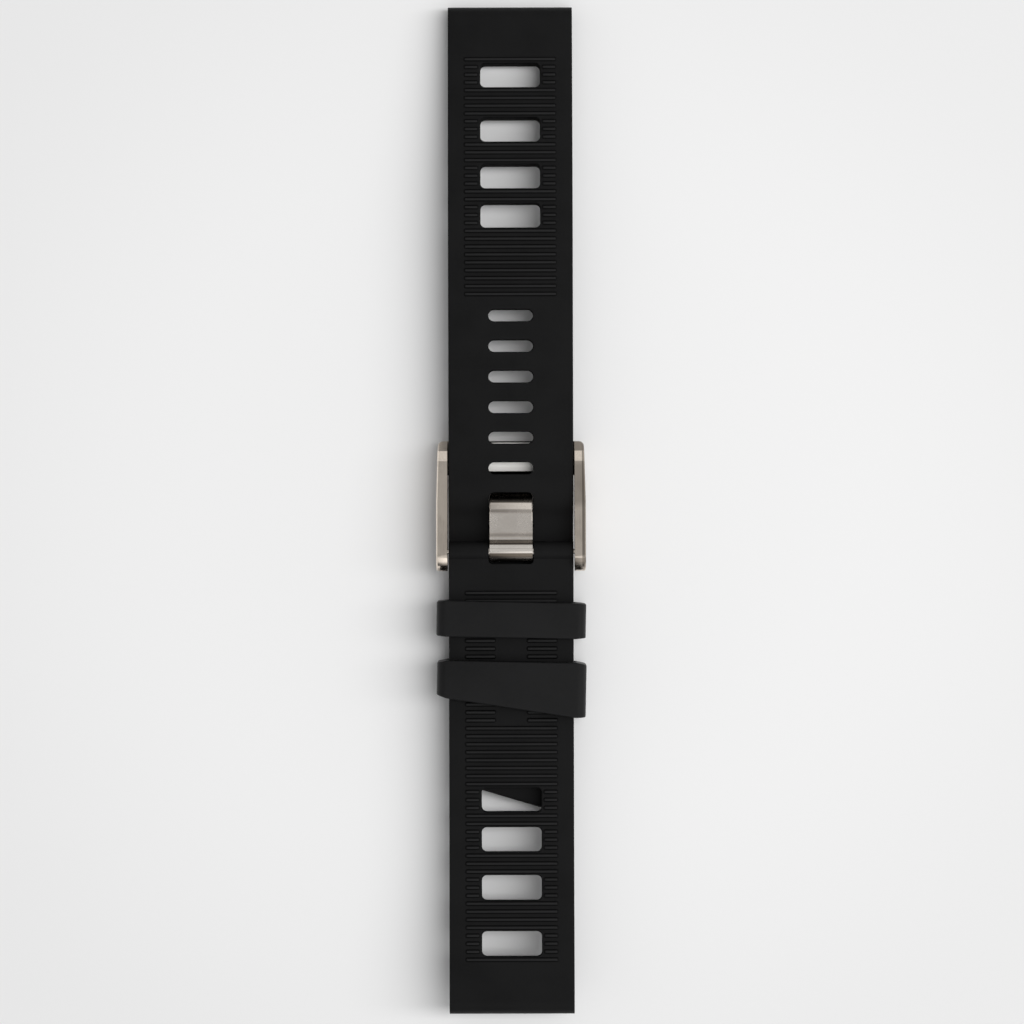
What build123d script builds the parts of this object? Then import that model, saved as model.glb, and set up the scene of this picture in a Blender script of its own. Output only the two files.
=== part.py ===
from build123d import *
import os
from math import atan2, cos, degrees, radians, sin, tan

# A rubber dive strap, buckled closed and laid down with its wrist side up.
# X runs across the strap, Y along it with the long strap towards +Y, and Z is up.
# The model is laid out from the spring bar's axis and moved to the middle of its footprint at the end.
# Every length is in millimetres and every angle in degrees.

# Rubber bands
strap_width = 19.8
tail_thickness = 2.3
short_thickness = 2.7
vent_thickness = 3.0
outer_edge = 0.6
lug_roll_radius = 1.95
lug_bore_radius = 1.0
lug_flare = 7.0
lap_gap = 0.1

# Cross ribs on the wrist side, counted from each lug end
rib_pitch = 1.266
rib_width = 0.5
rib_height = 0.25
rib_length = 14.7
rib_root = 0.2
rib_draft = 20.0
rib_to_lug_end = 8.45
long_rib_count = 31
short_rib_count = 47
patch_first_rib = 30
patch_last_rib = 40
patch_width = 5.1

# Vents, each centred on one rib counted from the lug end
vent_length = 10.0
vent_width = 4.0
vent_corner = 0.8
vent_rim = 0.25
vent_ribs = (2, 9, 15, 20)
vent_rib_reach = 1

# Adjusting holes, counted from the lug side
hole_count = 12
hole_in_use = 6
hole_pitch = 4.85
hole_side_gap = 0.15
hole_width = 1.9
hole_use_width = 2.9
hole_use_set_back = 0.1
rib_to_first_hole = 3.35

# Tail tip, with its long side at +X
tail_reach = 42.2
tail_tip_slant = 16.6
tail_tip_corner = 1.5

# Short strap's buckle end
bar_to_first_rib = 6.5
roll_radius = 1.6
notch_side_gap = 0.175
notch_depth = 3.6
notch_corner = 0.6

# Run of the two bands
bend_start = 2.0
bend_end = 11.9
taper_start = 19.0
taper_end = 40.0
droop_start = 47.0
droop_length = 15.0
rise_start = 42.0
rise_length = 15.0
rise_angle = 5.0

# Spring bar
bar_radius = 0.78
bar_bore_radius = 0.55
bar_end_set = 1.0
bar_lip = 0.35
tip_radius = 0.4
tip_head_radius = 0.5
tip_head_length = 0.8
tip_bite = 1.1
tip_nose = 0.15
pin_clearance = 0.05
barrel_clearance = 0.06
spring_radius = 0.48
spring_wire = 0.12
spring_gap = 0.02

# Buckle frame
frame_gap = 0.2
arm_width = 1.75
arm_front_width = 1.5
arm_taper_length = 9.55
arm_end_radius = 2.55
arm_end_set = 0.55
arm_front_drop = 0.9
nose_reach = 17.55
nose_step = 1.6
nose_facet_drop = 0.6
nose_chamfer_drop = 2.3
nose_corner = 0.8
arm_edge = 0.2
front_bar_width = 5.4
front_bar_thickness = 2.6
front_bar_camber = 0.7
front_bar_crest = 2.6
bar_gap = 0.1

# Buckle tongue
tongue_width = 6.8
tongue_thickness = 1.2
tongue_table_gap = 0.6
barrel_radius = 1.6
barrel_flat = 1.2
step_length = 0.65
step_height = 1.05
plate_length = 4.4
slope_angle = 17.0
slope_turn_radius = 2.0
slope_length = 0.7
leg_angle = 80.0
leg_turn_radius = 1.5
foot_turn_radius = 0.5
tongue_tip_reach = 17.2
tongue_tip_corner = 1.2
tongue_edge = 0.15
neck_length = 3.6
neck_depth = 0.9
neck_foot_share = 0.6

# Keepers
keeper_wall = 1.4
keeper_side = 1.75
keeper_gap = 0.15
keeper_side_gap = 0.2
keeper_corner = 1.5
keeper_inner_corner = 0.4
keeper_edge = 0.3
keeper_lean_angle = -1.2
narrow_centre = 10.8
narrow_length = 5.75
wide_front = 17.35
wide_short_length = 5.9
wide_slant = 7.6

# Overrun of every cut past the faces that it opens
overrun = 1.0

# Tries of the two searches for a turn and for a place along a run
turn_tries = 20
halvings = 60

# Widths that follow from the strap and the tongue, and heights from the stack of bands in the keepers
half_width = strap_width / 2
bar_half_length = half_width - bar_end_set
hole_length = tongue_width + 2 * hole_side_gap
notch_width = tongue_width + 2 * notch_side_gap
tail_bottom = keeper_wall + keeper_gap
tail_top = tail_bottom + tail_thickness
short_bottom = tail_top + lap_gap
short_top = short_bottom + short_thickness
axis_height = short_bottom + roll_radius
keeper_height = short_top + rib_height + keeper_gap + keeper_wall
foot_top = tongue_table_gap + tongue_thickness
front_bar_bottom = foot_top + bar_gap
front_bar_top = front_bar_bottom + front_bar_thickness
long_top = front_bar_top + bar_gap + tail_thickness


def lay_run(start, heading, stretches):
    """Stations of a band's wrist face; a stretch is its length, turn and the thickness at both ends."""
    stations = []
    along = 0
    y, z = start
    for length, turn, first, last in stretches:
        stations.append((along, y, z, heading, length, turn, first, last))
        y, z, heading = step_along(y, z, heading, length, turn, length)
        along += length
    return stations


def step_along(y, z, heading, length, turn, distance):
    """Point and heading at a distance into a straight or evenly bent stretch."""
    if turn == 0:
        return y + distance * cos(radians(heading)), z + distance * sin(radians(heading)), heading
    radius = length / radians(turn)
    end = heading + turn * distance / length
    y += radius * (sin(radians(end)) - sin(radians(heading)))
    z -= radius * (cos(radians(end)) - cos(radians(heading)))
    return y, z, end


def place_at(run, distance):
    """Wrist face point, heading and thickness at a distance along a run."""
    station = [s for s in run if s[0] <= distance][-1]
    along, y, z, heading, length, turn, first, last = station
    into = distance - along
    y, z, heading = step_along(y, z, heading, length, turn, into)
    return y, z, heading, first + (last - first) * into / length


def under(point):
    """The outer face point below a wrist face point."""
    y, z, heading, thickness = point
    return y + thickness * sin(radians(heading)), z - thickness * cos(radians(heading))


def plane_at(run, distance):
    """A plane on the wrist face, with its normal up out of the band."""
    y, z, heading, thickness = place_at(run, distance)
    normal = (0, -sin(radians(heading)), cos(radians(heading)))
    return Plane(origin=(0, y, z), x_dir=(1, 0, 0), z_dir=normal)


def run_length(run):
    """Length of a run along its wrist face."""
    return run[-1][0] + run[-1][4]


def run_edges(run):
    """Edges along the wrist face and along the outer face, and the four end points."""
    upper = []
    lower = []
    for along, y, z, heading, length, turn, first, last in run:
        ends = []
        for share in (0, 1 / 2, 1):
            py, pz, angle = step_along(y, z, heading, length, turn, length * share)
            ends.append((py, pz, angle, first + (last - first) * share))
        tops = [(p[0], p[1]) for p in ends]
        lows = [under(p) for p in ends]
        if turn == 0:
            upper.append(Line(tops[0], tops[2]))
            lower.append(Line(lows[0], lows[2]))
        else:
            upper.append(ThreePointArc(*tops))
            lower.append(ThreePointArc(*lows))
    return upper, lower


def side_solid(edges, reach):
    """Solid of a side outline, drawn in Y and Z, as wide as twice the reach."""
    return extrude(Plane.YZ * make_face(edges), amount=reach, both=True)


def cross_cylinder(radius, reach, y, z):
    """Cylinder along X, centred at a point of the side view."""
    return Pos(0, y, z) * Rot(0, 90, 0) * Cylinder(radius, reach * 2)


def band_with_lug(run):
    """A rubber band with its rolled lug end and the spring bar tunnel in it."""
    upper, lower = run_edges(run)
    last = place_at(run, run_length(run))
    top = (last[0], last[1])
    low = under(last)
    angle = radians(last[2])
    centre = ((top[0] + low[0]) / 2, (top[1] + low[1]) / 2)
    crown = (centre[0] + lug_roll_radius * cos(angle), centre[1] + lug_roll_radius * sin(angle))
    first = place_at(run, 0)
    edges = upper + [ThreePointArc(top, crown, low)] + lower + [Line((first[0], first[1]), under(first))]
    return side_solid(edges, half_width), centre


def edges_along(solid, lines, reach):
    """The solid's edges that the lines of a side outline became, on both sides."""
    middles = [line @ (1 / 2) for line in lines]
    spots = [Vector(side, p.X, p.Y) for p in middles for side in (-reach, reach)]
    return [solid.edges().sort_by_distance(spot)[0] for spot in spots]


def rib_set(run, lug_end, count, patch):
    """Raised cross ribs, parted where a vent or the bare patch lies."""
    ribs = []
    parted = {vent + step for vent in vent_ribs for step in range(-vent_rib_reach, vent_rib_reach + 1)}
    for index in range(count):
        plane = plane_at(run, lug_end - rib_to_lug_end - index * rib_pitch)
        gap = 0
        if index in parted:
            gap = vent_length + 2 * vent_rim
        elif index in patch:
            gap = patch_width
        if gap:
            length = (rib_length - gap) / 2
            shift = (gap + length) / 2
            spots = [-shift, shift]
        else:
            length = rib_length
            spots = [0]
        for spot in spots:
            ribs.append(plane * Pos(spot, 0, -rib_root) * drafted_rib(length))
    return ribs


def drafted_rib(length):
    """A rib with drafted sides, at its full length and width where it leaves the band."""
    spread = 2 * rib_root * tan(radians(rib_draft))
    base = Rectangle(length + spread, rib_width + spread)
    return extrude(base, amount=rib_root + rib_height, taper=rib_draft)


def vent_set(run, lug_end):
    """Cutters of the four vents, square to the wrist face."""
    shape = RectangleRounded(vent_length, vent_width, vent_corner)
    cutter = extrude(shape, amount=vent_thickness + lug_roll_radius, both=True)
    return [plane_at(run, lug_end - rib_to_lug_end - index * rib_pitch) * cutter for index in vent_ribs]


def tongue_run():
    """Run of the tongue from the start of its plate to its tip, on its wrist face."""
    drop = leg_angle - slope_angle
    plate_top = axis_height + barrel_radius + step_height
    fixed = [
        (plate_length, 0),
        (slope_turn_radius * radians(slope_angle), -slope_angle),
        (slope_length, 0),
        (leg_turn_radius * radians(drop), -drop),
    ]
    bend = [(length, turn, tongue_thickness, tongue_thickness) for length, turn in fixed]
    start = (barrel_flat + step_length, plate_top)
    run = lay_run(start, 0, bend)
    y, z, heading, thickness = place_at(run, run_length(run))
    foot_rise = foot_turn_radius * (1 - cos(radians(leg_angle)))
    leg = (z - foot_rise - foot_top) / sin(radians(leg_angle))
    bend.append((leg, 0, tongue_thickness, tongue_thickness))
    bend.append((foot_turn_radius * radians(leg_angle), leg_angle, tongue_thickness, tongue_thickness))
    run = lay_run(start, 0, bend)
    y, z, heading, thickness = place_at(run, run_length(run))
    bend.append((tongue_tip_reach - y, 0, tongue_thickness, tongue_thickness))
    return lay_run(start, 0, bend)


def leg_place():
    """Y of the middle of the tongue's leg where it passes through the tail."""
    run = tongue_run()
    station = run[4]
    middle = place_at(run, station[0] + station[4] / 2)
    low = under(middle)
    return (middle[0] + low[0]) / 2


def s_bend():
    """Radius and turn of the two equal bends that lift the tail over the front bar."""
    rise = long_top - tail_top
    reach = bend_end - bend_start
    turn = 2 * atan2(rise, reach)
    return reach / (2 * sin(turn)), degrees(turn)


def long_run():
    """Run of the long strap from its tail tip to its lug roll, and the place of the lug end."""
    radius, turn = s_bend()
    inner = (radius - tail_thickness / 2) * radians(turn)
    outer = (radius + tail_thickness / 2) * radians(turn)
    bend = [
        (tail_reach + bend_start, 0, tail_thickness, tail_thickness),
        (inner, turn, tail_thickness, tail_thickness),
        (outer, -turn, tail_thickness, tail_thickness),
    ]
    start = (-tail_reach, tail_top)
    bend.append((taper_start - bend_end, 0, tail_thickness, tail_thickness))
    bend.append((taper_end - taper_start, 0, tail_thickness, vent_thickness))
    bend.append((droop_start - taper_end, 0, vent_thickness, vent_thickness))
    use_along = along_at_y(lay_run(start, 0, bend), leg_place() + hole_use_set_back)
    lug_end = use_along + hole_in_use * hole_pitch + rib_to_first_hole
    lug_end += (long_rib_count - 1) * rib_pitch + rib_to_lug_end
    flat_end = sum(stretch[0] for stretch in bend)
    last = lug_end - flat_end - droop_length - lug_roll_radius
    fall = long_top - 2 * lug_roll_radius
    turn = droop_turn(fall, last)
    bend.append((droop_length, -turn, vent_thickness, vent_thickness))
    bend.append((last - lug_flare, 0, vent_thickness, vent_thickness))
    bend.append((lug_flare, 0, vent_thickness, 2 * lug_roll_radius))
    return lay_run(start, 0, bend), lug_end, use_along


def droop_turn(fall, last):
    """Turn that brings the lug roll's lowest point down to the table."""
    turn = fall / (droop_length / 2 + last)
    for step in range(turn_tries):
        radius = droop_length / turn
        reached = (radius - lug_roll_radius) * (1 - cos(turn)) + last * sin(turn)
        turn *= fall / reached
    return degrees(turn)


def along_at_y(run, y):
    """Distance along a run's wrist face at which it reaches a given Y."""
    low = 0
    high = run_length(run)
    for step in range(halvings):
        middle = (low + high) / 2
        if place_at(run, middle)[0] < y:
            low = middle
        else:
            high = middle
    return low


def tail_plan(far_end):
    """Plan outline of the long strap, with its slanted tip's two corners rounded."""
    tip_y = -tail_reach
    far_y = tip_y + strap_width * tan(radians(tail_tip_slant))
    outline = make_face(Polyline(
        (-half_width, far_y), (half_width, tip_y), (half_width, far_end), (-half_width, far_end), close=True))
    corners = [v for v in outline.vertices() if v.Y < far_end - overrun]
    return fillet(corners, tail_tip_corner)


def make_long_strap():
    """Long strap: tail, adjusting holes, ribs, vents and lug roll."""
    run, lug_end, use_along = long_run()
    band, lug = band_with_lug(run)
    band = fillet(edges_along(band, run_edges(run)[1], half_width), outer_edge)
    band &= extrude(tail_plan(lug[0] + lug_roll_radius + overrun), amount=long_top + overrun)
    band += rib_set(run, lug_end, long_rib_count, ())
    band -= vent_set(run, lug_end)
    slot = extrude(SlotOverall(hole_length, hole_width), amount=vent_thickness + overrun, both=True)
    for index in range(hole_count):
        along = use_along + (hole_in_use - index) * hole_pitch
        if index != hole_in_use:
            band -= plane_at(run, along) * slot
    used = RectangleRounded(hole_length, hole_use_width, hole_width / 2)
    wide = extrude(used, amount=vent_thickness + overrun, both=True)
    y, z, heading, thickness = place_at(run, use_along)
    band -= Pos(0, y + (hole_width - hole_use_width) / 2, z) * wide
    band -= cross_cylinder(lug_bore_radius, half_width + overrun, *lug)
    return band, lug


def short_run():
    """Run of the short strap from the spring bar to its lug roll, and the place of the lug end."""
    lug_end = bar_to_first_rib + (short_rib_count - 1) * rib_pitch + rib_to_lug_end
    last = lug_end - rise_start - rise_length - lug_roll_radius
    stretches = [
        (rise_start, 0, short_thickness, short_thickness),
        (rise_length, rise_angle, short_thickness, short_thickness),
        (last - lug_flare, 0, short_thickness, short_thickness),
        (lug_flare, 0, short_thickness, 2 * lug_roll_radius),
    ]
    return lay_run((0, short_top), 0, stretches), lug_end


def make_short_strap():
    """Short strap: buckle roll with its notch, ribs, bare patch, vents and lug roll."""
    run, lug_end = short_run()
    band, lug = band_with_lug(run)
    band = fillet(edges_along(band, run_edges(run)[1], half_width), outer_edge)
    band += cross_cylinder(roll_radius, half_width, 0, axis_height)
    patch = range(patch_first_rib, patch_last_rib + 1)
    band += rib_set(run, lug_end, short_rib_count, patch)
    band -= vent_set(run, lug_end)
    reach = notch_depth + notch_corner
    notch = RectangleRounded(notch_width, 2 * reach, notch_corner)
    cutter = extrude(notch, amount=2 * (roll_radius + short_thickness))
    band -= Pos(0, notch_depth - roll_radius - reach, short_bottom - roll_radius) * cutter
    band -= cross_cylinder(bar_radius + barrel_clearance, half_width + overrun, 0, axis_height)
    band -= cross_cylinder(lug_bore_radius, half_width + overrun, *lug)
    return Rot(0, 0, 180) * band, (-lug[0], lug[1])


def arm_side():
    """Side outline of a buckle arm: round rear end, sloped top and a nose in two facets."""
    rear = -arm_end_set
    top = axis_height + arm_end_radius
    low = axis_height - arm_end_radius
    front_top = top - arm_front_drop
    knee = front_top - nose_facet_drop
    nose_top = knee - nose_chamfer_drop
    heel = nose_reach - front_bar_width
    lines = Polyline(
        (rear, top), (nose_reach - 2 * nose_step, front_top), (nose_reach - nose_step, knee),
        (nose_reach, nose_top), (nose_reach, front_bar_bottom), (heel, front_bar_bottom), (rear, low))
    back = ThreePointArc((rear, low), (rear - arm_end_radius, axis_height), (rear, top))
    return make_face(lines + back)


def arm_plan(inner):
    """Plan outline of the right arm, thinner towards its nose."""
    rear = -arm_end_set - arm_end_radius
    taper_start = nose_reach - arm_taper_length
    outline = make_face(Polyline(
        (inner, rear), (inner + arm_width, rear), (inner + arm_width, taper_start),
        (inner + arm_front_width, nose_reach), (inner, nose_reach), close=True))
    nose = outline.vertices().sort_by(lambda v: v.X + v.Y)[-1]
    return fillet(nose, nose_corner)


def outer_face_edges(arm, inner):
    """Edges round the arm's outer face, but for the upright one at its nose."""
    chosen = []
    for edge in arm.edges():
        middle = edge.center()
        run = edge.tangent_at(1 / 2)
        outer = middle.X > inner + arm_edge and abs(run.X) < 1 / 2
        upright_nose = abs(run.Z) > 1 / 2 and 0 < middle.Y and middle.Z < axis_height
        if outer and not upright_nose:
            chosen.append(edge)
    return chosen


def make_frame():
    """Buckle frame: two arms joined by the cambered front bar."""
    inner = half_width + frame_gap
    slab = Pos(inner, 0, 0) * extrude(Plane.YZ * arm_side(), amount=arm_width)
    arm = slab & extrude(arm_plan(inner), amount=keeper_height + arm_end_radius)
    arm = chamfer(outer_face_edges(arm, inner), arm_edge)
    heel = nose_reach - front_bar_width
    crest = heel + front_bar_crest
    shoulder = front_bar_top - front_bar_camber
    section = make_face(
        Line((heel, front_bar_bottom), (heel, shoulder))
        + ThreePointArc((heel, shoulder), (crest, front_bar_top), (nose_reach, shoulder))
        + Line((nose_reach, shoulder), (nose_reach, front_bar_bottom))
        + Line((nose_reach, front_bar_bottom), (heel, front_bar_bottom)))
    bar = extrude(Plane.YZ * section, amount=inner + arm_front_width / 2, both=True)
    frame = arm + mirror(arm, about=Plane.YZ) + bar
    return frame - cross_cylinder(tip_radius + pin_clearance, inner + arm_width + overrun, 0, axis_height)


def make_tongue():
    """Tongue: barrel on the spring bar, stepped neck, wide plate, cranked leg and foot under the bar."""
    upper, lower = run_edges(tongue_run())
    first = upper[0] @ 0
    under_first = lower[0] @ 0
    tip = upper[-1] @ 1
    under_tip = lower[-1] @ 1
    reach = tongue_width / 2
    strip = side_solid(upper + lower + [Line(first, under_first), Line(tip, under_tip)], reach)
    corners = [e for e in strip.edges().filter_by(Axis.Z) if e.center().Y > tongue_tip_reach - overrun]
    strip = fillet(corners, tongue_tip_corner)
    top = axis_height + barrel_radius
    plate_top = top + step_height
    low = axis_height - neck_depth
    neck_end = barrel_flat + neck_length
    neck = make_face(Polyline(
        (0, top), (barrel_flat, top), (barrel_flat + step_length, plate_top), (neck_end, plate_top),
        (neck_end, plate_top - tongue_thickness), (neck_end * neck_foot_share, low), (0, low), close=True))
    strip = chamfer(edges_along(strip, upper, reach), tongue_edge)
    tongue = strip + extrude(Plane.YZ * neck, amount=reach, both=True)
    tongue += cross_cylinder(barrel_radius, reach, 0, axis_height)
    return tongue - cross_cylinder(bar_radius + barrel_clearance, reach + overrun, 0, axis_height)


def make_tube():
    """Spring bar's tube, turned in at both ends to hold the tips."""
    tube = cross_cylinder(bar_radius, bar_half_length, 0, axis_height)
    tube -= cross_cylinder(bar_bore_radius, bar_half_length - bar_lip, 0, axis_height)
    return tube - cross_cylinder(tip_radius + pin_clearance, bar_half_length + overrun, 0, axis_height)


def make_tip():
    """Right spring bar tip: a head inside the tube and a pin out into the arm."""
    inner = bar_half_length - bar_lip - pin_clearance
    outer = half_width + frame_gap + tip_bite
    pin = Pos(inner - tip_head_length, 0, axis_height) * Rot(0, 90, 0) * Cylinder(
        tip_radius, outer - inner + tip_head_length, align=(Align.CENTER, Align.CENTER, Align.MIN))
    pin = chamfer(pin.edges().sort_by(Axis.X)[-1], tip_nose)
    head = Pos(inner - tip_head_length, 0, axis_height) * Rot(0, 90, 0) * Cylinder(
        tip_head_radius, tip_head_length, align=(Align.CENTER, Align.CENTER, Align.MIN))
    return pin + head


def make_spring():
    """The coil spring inside the tube, between the two heads."""
    reach = bar_half_length - bar_lip - pin_clearance - tip_head_length - spring_gap
    sleeve = cross_cylinder(spring_radius, reach, 0, axis_height)
    return sleeve - cross_cylinder(spring_radius - spring_wire, reach + overrun, 0, axis_height)


def keeper_loop(length):
    """A closed rubber loop round both bands, centred along Y at zero."""
    inner_half = half_width + keeper_side_gap
    outer_half = inner_half + keeper_side
    inner_height = keeper_height - 2 * keeper_wall
    outline = RectangleRounded(2 * outer_half, keeper_height, keeper_corner)
    hole = RectangleRounded(2 * inner_half, inner_height, keeper_inner_corner)
    loop = extrude(Plane.XZ * outline, amount=length / 2, both=True)
    loop = chamfer(loop.edges(), keeper_edge)
    loop -= extrude(Plane.XZ * hole, amount=length / 2 + overrun, both=True)
    return Pos(0, 0, keeper_height / 2) * loop


def make_keeper_narrow():
    """The narrow keeper, a plain loop."""
    return Pos(0, -narrow_centre, 0) * Rot(0, 0, keeper_lean_angle) * keeper_loop(narrow_length)


def make_keeper_wide():
    """The wide keeper, whose far edge slants."""
    outer = half_width + keeper_side_gap + keeper_side
    spread = 2 * outer * tan(radians(wide_slant))
    loop = keeper_loop(wide_short_length + spread)
    half = (wide_short_length + spread) / 2
    corner = Polyline(
        (-outer - overrun, -half - overrun), (outer, -half - overrun), (outer, -half),
        (-outer, spread - half), (-outer - overrun, spread - half), close=True)
    loop -= extrude(make_face(corner), amount=keeper_height)
    return Pos(0, -wide_front - half, 0) * Rot(0, 0, keeper_lean_angle) * loop


def main():
    """Builds every piece, moves all to the middle of the footprint and writes them."""
    os.makedirs("parts", exist_ok=True)
    long_strap, long_lug = make_long_strap()
    short_strap, short_lug = make_short_strap()
    tip = make_tip()
    pieces = {
        "long_strap": long_strap,
        "short_strap": short_strap,
        "keeper_narrow": make_keeper_narrow(),
        "keeper_wide": make_keeper_wide(),
        "buckle_frame": make_frame(),
        "buckle_tongue": make_tongue(),
        "spring_bar_tube": make_tube(),
        "spring_bar_tip_right": tip,
        "spring_bar_tip_left": mirror(tip, about=Plane.YZ),
        "spring_bar_spring": make_spring(),
    }
    far = long_lug[0] + lug_roll_radius
    near = short_lug[0] - lug_roll_radius
    middle = (far + near) / 2
    for name, piece in pieces.items():
        export_step(Pos(0, -middle, 0) * piece, "parts/" + name + ".step")
    print("length", round(far - near, 3), "middle", round(middle, 4))
    print("spring bar axis", round(-middle, 4), round(axis_height, 4))
    print("long lug", round(long_lug[0] - middle, 4), round(long_lug[1], 4))
    print("short lug", round(short_lug[0] - middle, 4), round(short_lug[1], 4))


main()
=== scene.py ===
from math import copysign, cos, pi, radians, sin, sqrt, tan

import bmesh
import bpy
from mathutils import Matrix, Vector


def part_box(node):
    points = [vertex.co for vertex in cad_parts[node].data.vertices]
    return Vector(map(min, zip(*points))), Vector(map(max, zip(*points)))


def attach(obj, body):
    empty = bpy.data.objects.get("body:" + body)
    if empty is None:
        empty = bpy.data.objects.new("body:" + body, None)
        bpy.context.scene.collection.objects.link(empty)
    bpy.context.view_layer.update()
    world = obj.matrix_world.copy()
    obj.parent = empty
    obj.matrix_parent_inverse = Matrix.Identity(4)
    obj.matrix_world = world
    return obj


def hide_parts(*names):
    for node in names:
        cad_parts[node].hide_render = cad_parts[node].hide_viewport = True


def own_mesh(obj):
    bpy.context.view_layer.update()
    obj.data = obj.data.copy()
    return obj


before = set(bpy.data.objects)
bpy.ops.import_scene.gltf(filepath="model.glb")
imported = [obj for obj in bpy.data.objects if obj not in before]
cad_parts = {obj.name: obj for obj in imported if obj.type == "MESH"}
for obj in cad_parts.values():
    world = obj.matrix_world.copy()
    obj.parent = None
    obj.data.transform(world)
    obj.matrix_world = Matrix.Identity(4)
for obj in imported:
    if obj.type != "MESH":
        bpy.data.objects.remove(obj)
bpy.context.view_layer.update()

# Shapes are laid out in millimetres, with Y from the spring bar's axis as in the part's source
mm = 0.001
axis_y = -6.8244
axis_height = 5.55
tiny = 0.001

# How finely round forms are drawn, and the angles in degrees over which an edge stays sharp
edge_steps = 5
arc_steps = 9
bore_steps = 32
smooth_angle = 32
wire_angle = 60

# Camera: straight above the wrist side, as in the photograph, whose scale in metres per pixel
# holds at scale_height above the table
photo_size = 1024
photo_scale = 0.0001585
scale_height = 0.007
camera_height = 0.57
camera_centre_px = (512.0, 512.0)
photo_zero_px = (511.0, 508.5)
camera_roll = -0.14
camera_clip = (0.01, 10)
sensor_width_mm = 36

# Stage and light
floor_reach = 1.5
floor_fade = (0.05, 0.115)
# Floor colour near the strap and far from it: a painted falloff of the light
floor_painted_falloff = (0.862, 0.81)
floor_to_backdrop = (0.15, 0.5)
backdrop_colour = (0.85, 0.85, 0.855, 1.0)
dome_top = 0.43
dome_front = (0.38, 0.65, 0.42)
dome_rear = (0.06, 0.4, 0.75)
dome_fade = (0.32, 0.7)
dome_horizon = 0.14
dome_tilt = 0.7
dome_sides = (0.6, 0.95, 0.75)
lamp_size = (4.0, 0.69)
lamp_place = (2.15, 0.116, 2.0)
lamp_power = 57.0

# Rubber bands: a pair of rounds is for the edges of the wrist face and of the outer face
half_width = 9.9
tail_thickness = 2.3
vent_thickness = 3.0
short_thickness = 2.7
lug_radius = 1.95
lug_flare = 7.0
lug_bore = 1.0
lug_round = 0.3
side_rounds = (0.18, 0.6)
tip_rounds = (0.3, 0.6)
roll_rounds = (0.18, 0.18)
row_pitch = 1.0

# How far cutters reach past the bands
cut_past = 1.0

# The long strap's run: its S bend over the front bar, its droop to the lug,
# and its distances from the tail tip
long_start = (-42.2, 3.85)
bend_start = 44.2
bend_rows = (-1, 12)
bend_radius = 8.796
bend_turn = 34.246
taper = (61.815, 82.815)
droop = (89.815, 15.0, 5.6046)
long_end = 130.072
tip_slant = 16.6
tip_corner = 1.5
tip_fade = 12.0
tip_reach = 0.2
tip_depths = (0, 0.04, 0.1, 0.2, 0.3, 0.45, 0.6, 0.8, 1.05, 1.3)

# The short strap's run: from its roll round the spring bar to its lug
short_start = (0.0, 6.65)
short_rise = (42.0, 15.0, 5.0)
short_end = 73.186
roll_radius = 1.6
roll_centre = -1.1
roll_degrees = (*range(-90, 50, 10), 46.57)
roll_end = 2.0
bar_bore = 0.84
notch_size = (7.15, 3.6)
notch_cut = 6
notch_corner = 0.6
notch_profile = ((0, 1.5), (0, -4.0))

# Ribs: how far the first one is from the lug end, and their pitch
long_ribs = (8.825, 1.2535)
short_ribs = (8.56, 1.262)
rib_size = (14.5, 0.5)
rib_corner = 0.15
rib_corner_steps = 2
rib_counts = (31, 47)
rib_patch = range(30, 41)
patch_width = 5.1
rib_profile = ((0.16, -0.1), (0.16, 0.01), (0.07, 0.06), (0.0, 0.12),
               (-0.06, 0.18), (-0.12, 0.23), (-0.19, 0.25))

# Vents and adjusting holes
vent_size = (9.5, 3.92)
vent_corner = 0.8
vent_corner_steps = 6
vent_border = 0.8
vent_rim = 0.2
vent_ribs = (2, 9, 15, 20)
hole_size = (7.1, 1.9)
hole_rim = 0.18
hole_pitch = 4.85
hole_corner = 0.94
hole_corner_steps = 8
hole_use = 51.192
hole_use_y = 7.95
hole_use_size = (7.1, 2.9)
hole_use_profile = ((0, -1), (0, 9))
holes_before = 6
holes_after = 5
rim_degrees = (80, 60, 40, 20, 0)

# Keepers, as loops round both bands
keeper_half = 11.85
keeper_height = 8.45
keeper_wall = 1.4
keeper_inner_half = 10.1
keeper_corner = 1.5
keeper_inner_corner = 0.4
keeper_corner_steps = 8
keeper_rounds = (0.22, 0.4)
keeper_lean = -1.2
narrow_centre = -10.8
narrow_length = 5.75
narrow_waist = 0.16
wide_front = -17.35
wide_length = 9.062
wide_slant = 7.6
wide_waist = 0.34

# Coil spring, as two halves that its tips press together
spring_wire = 0.12
spring_turns = 13
spring_steps = 16
wire_sides = 8

# Edges of the buckle
frame_round = 0.1
tongue_round = 0.15
round_segments = 2
edge_angle = 28

# Noise in the finishes: how much of its reach is used, and how fine its detail is
noise_reach = (0.3, 0.7)
grain_reach = (0.35, 0.65)
fine_detail = 3.0
broad_detail = 2.0
speck_detail = 1.0

# Rubber: tones run from a dark colour to a pale one, sizes are in millimetres, and a finish
# is its roughness, its specular level and the size of its grain
strap_tones = ((0.0040, 0.0040, 0.0041, 1), (0.0165, 0.0165, 0.0168, 1))
strap_finish = (0.55, 0.115, 0.35)
keeper_tones = ((0.0066, 0.0066, 0.0068, 1), (0.017, 0.017, 0.0174, 1))
keeper_finish = (0.45, 0.17, 0.5)
smudge_size = 7.0
smudge_tone = 0.16
smudge_shine = 0.05
grain_tone = 0.08
grain_shine = 0.04
grain_depth = 0.004
# Rib crowns paler: painted highlight
crown_highlight_tone = 0.76
# Rib flanks darker: painted shade
flank_reach = (0.12, 0.72, 0.1)
flank_shade_colour = (0.0018, 0.0018, 0.0018, 1)
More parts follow.
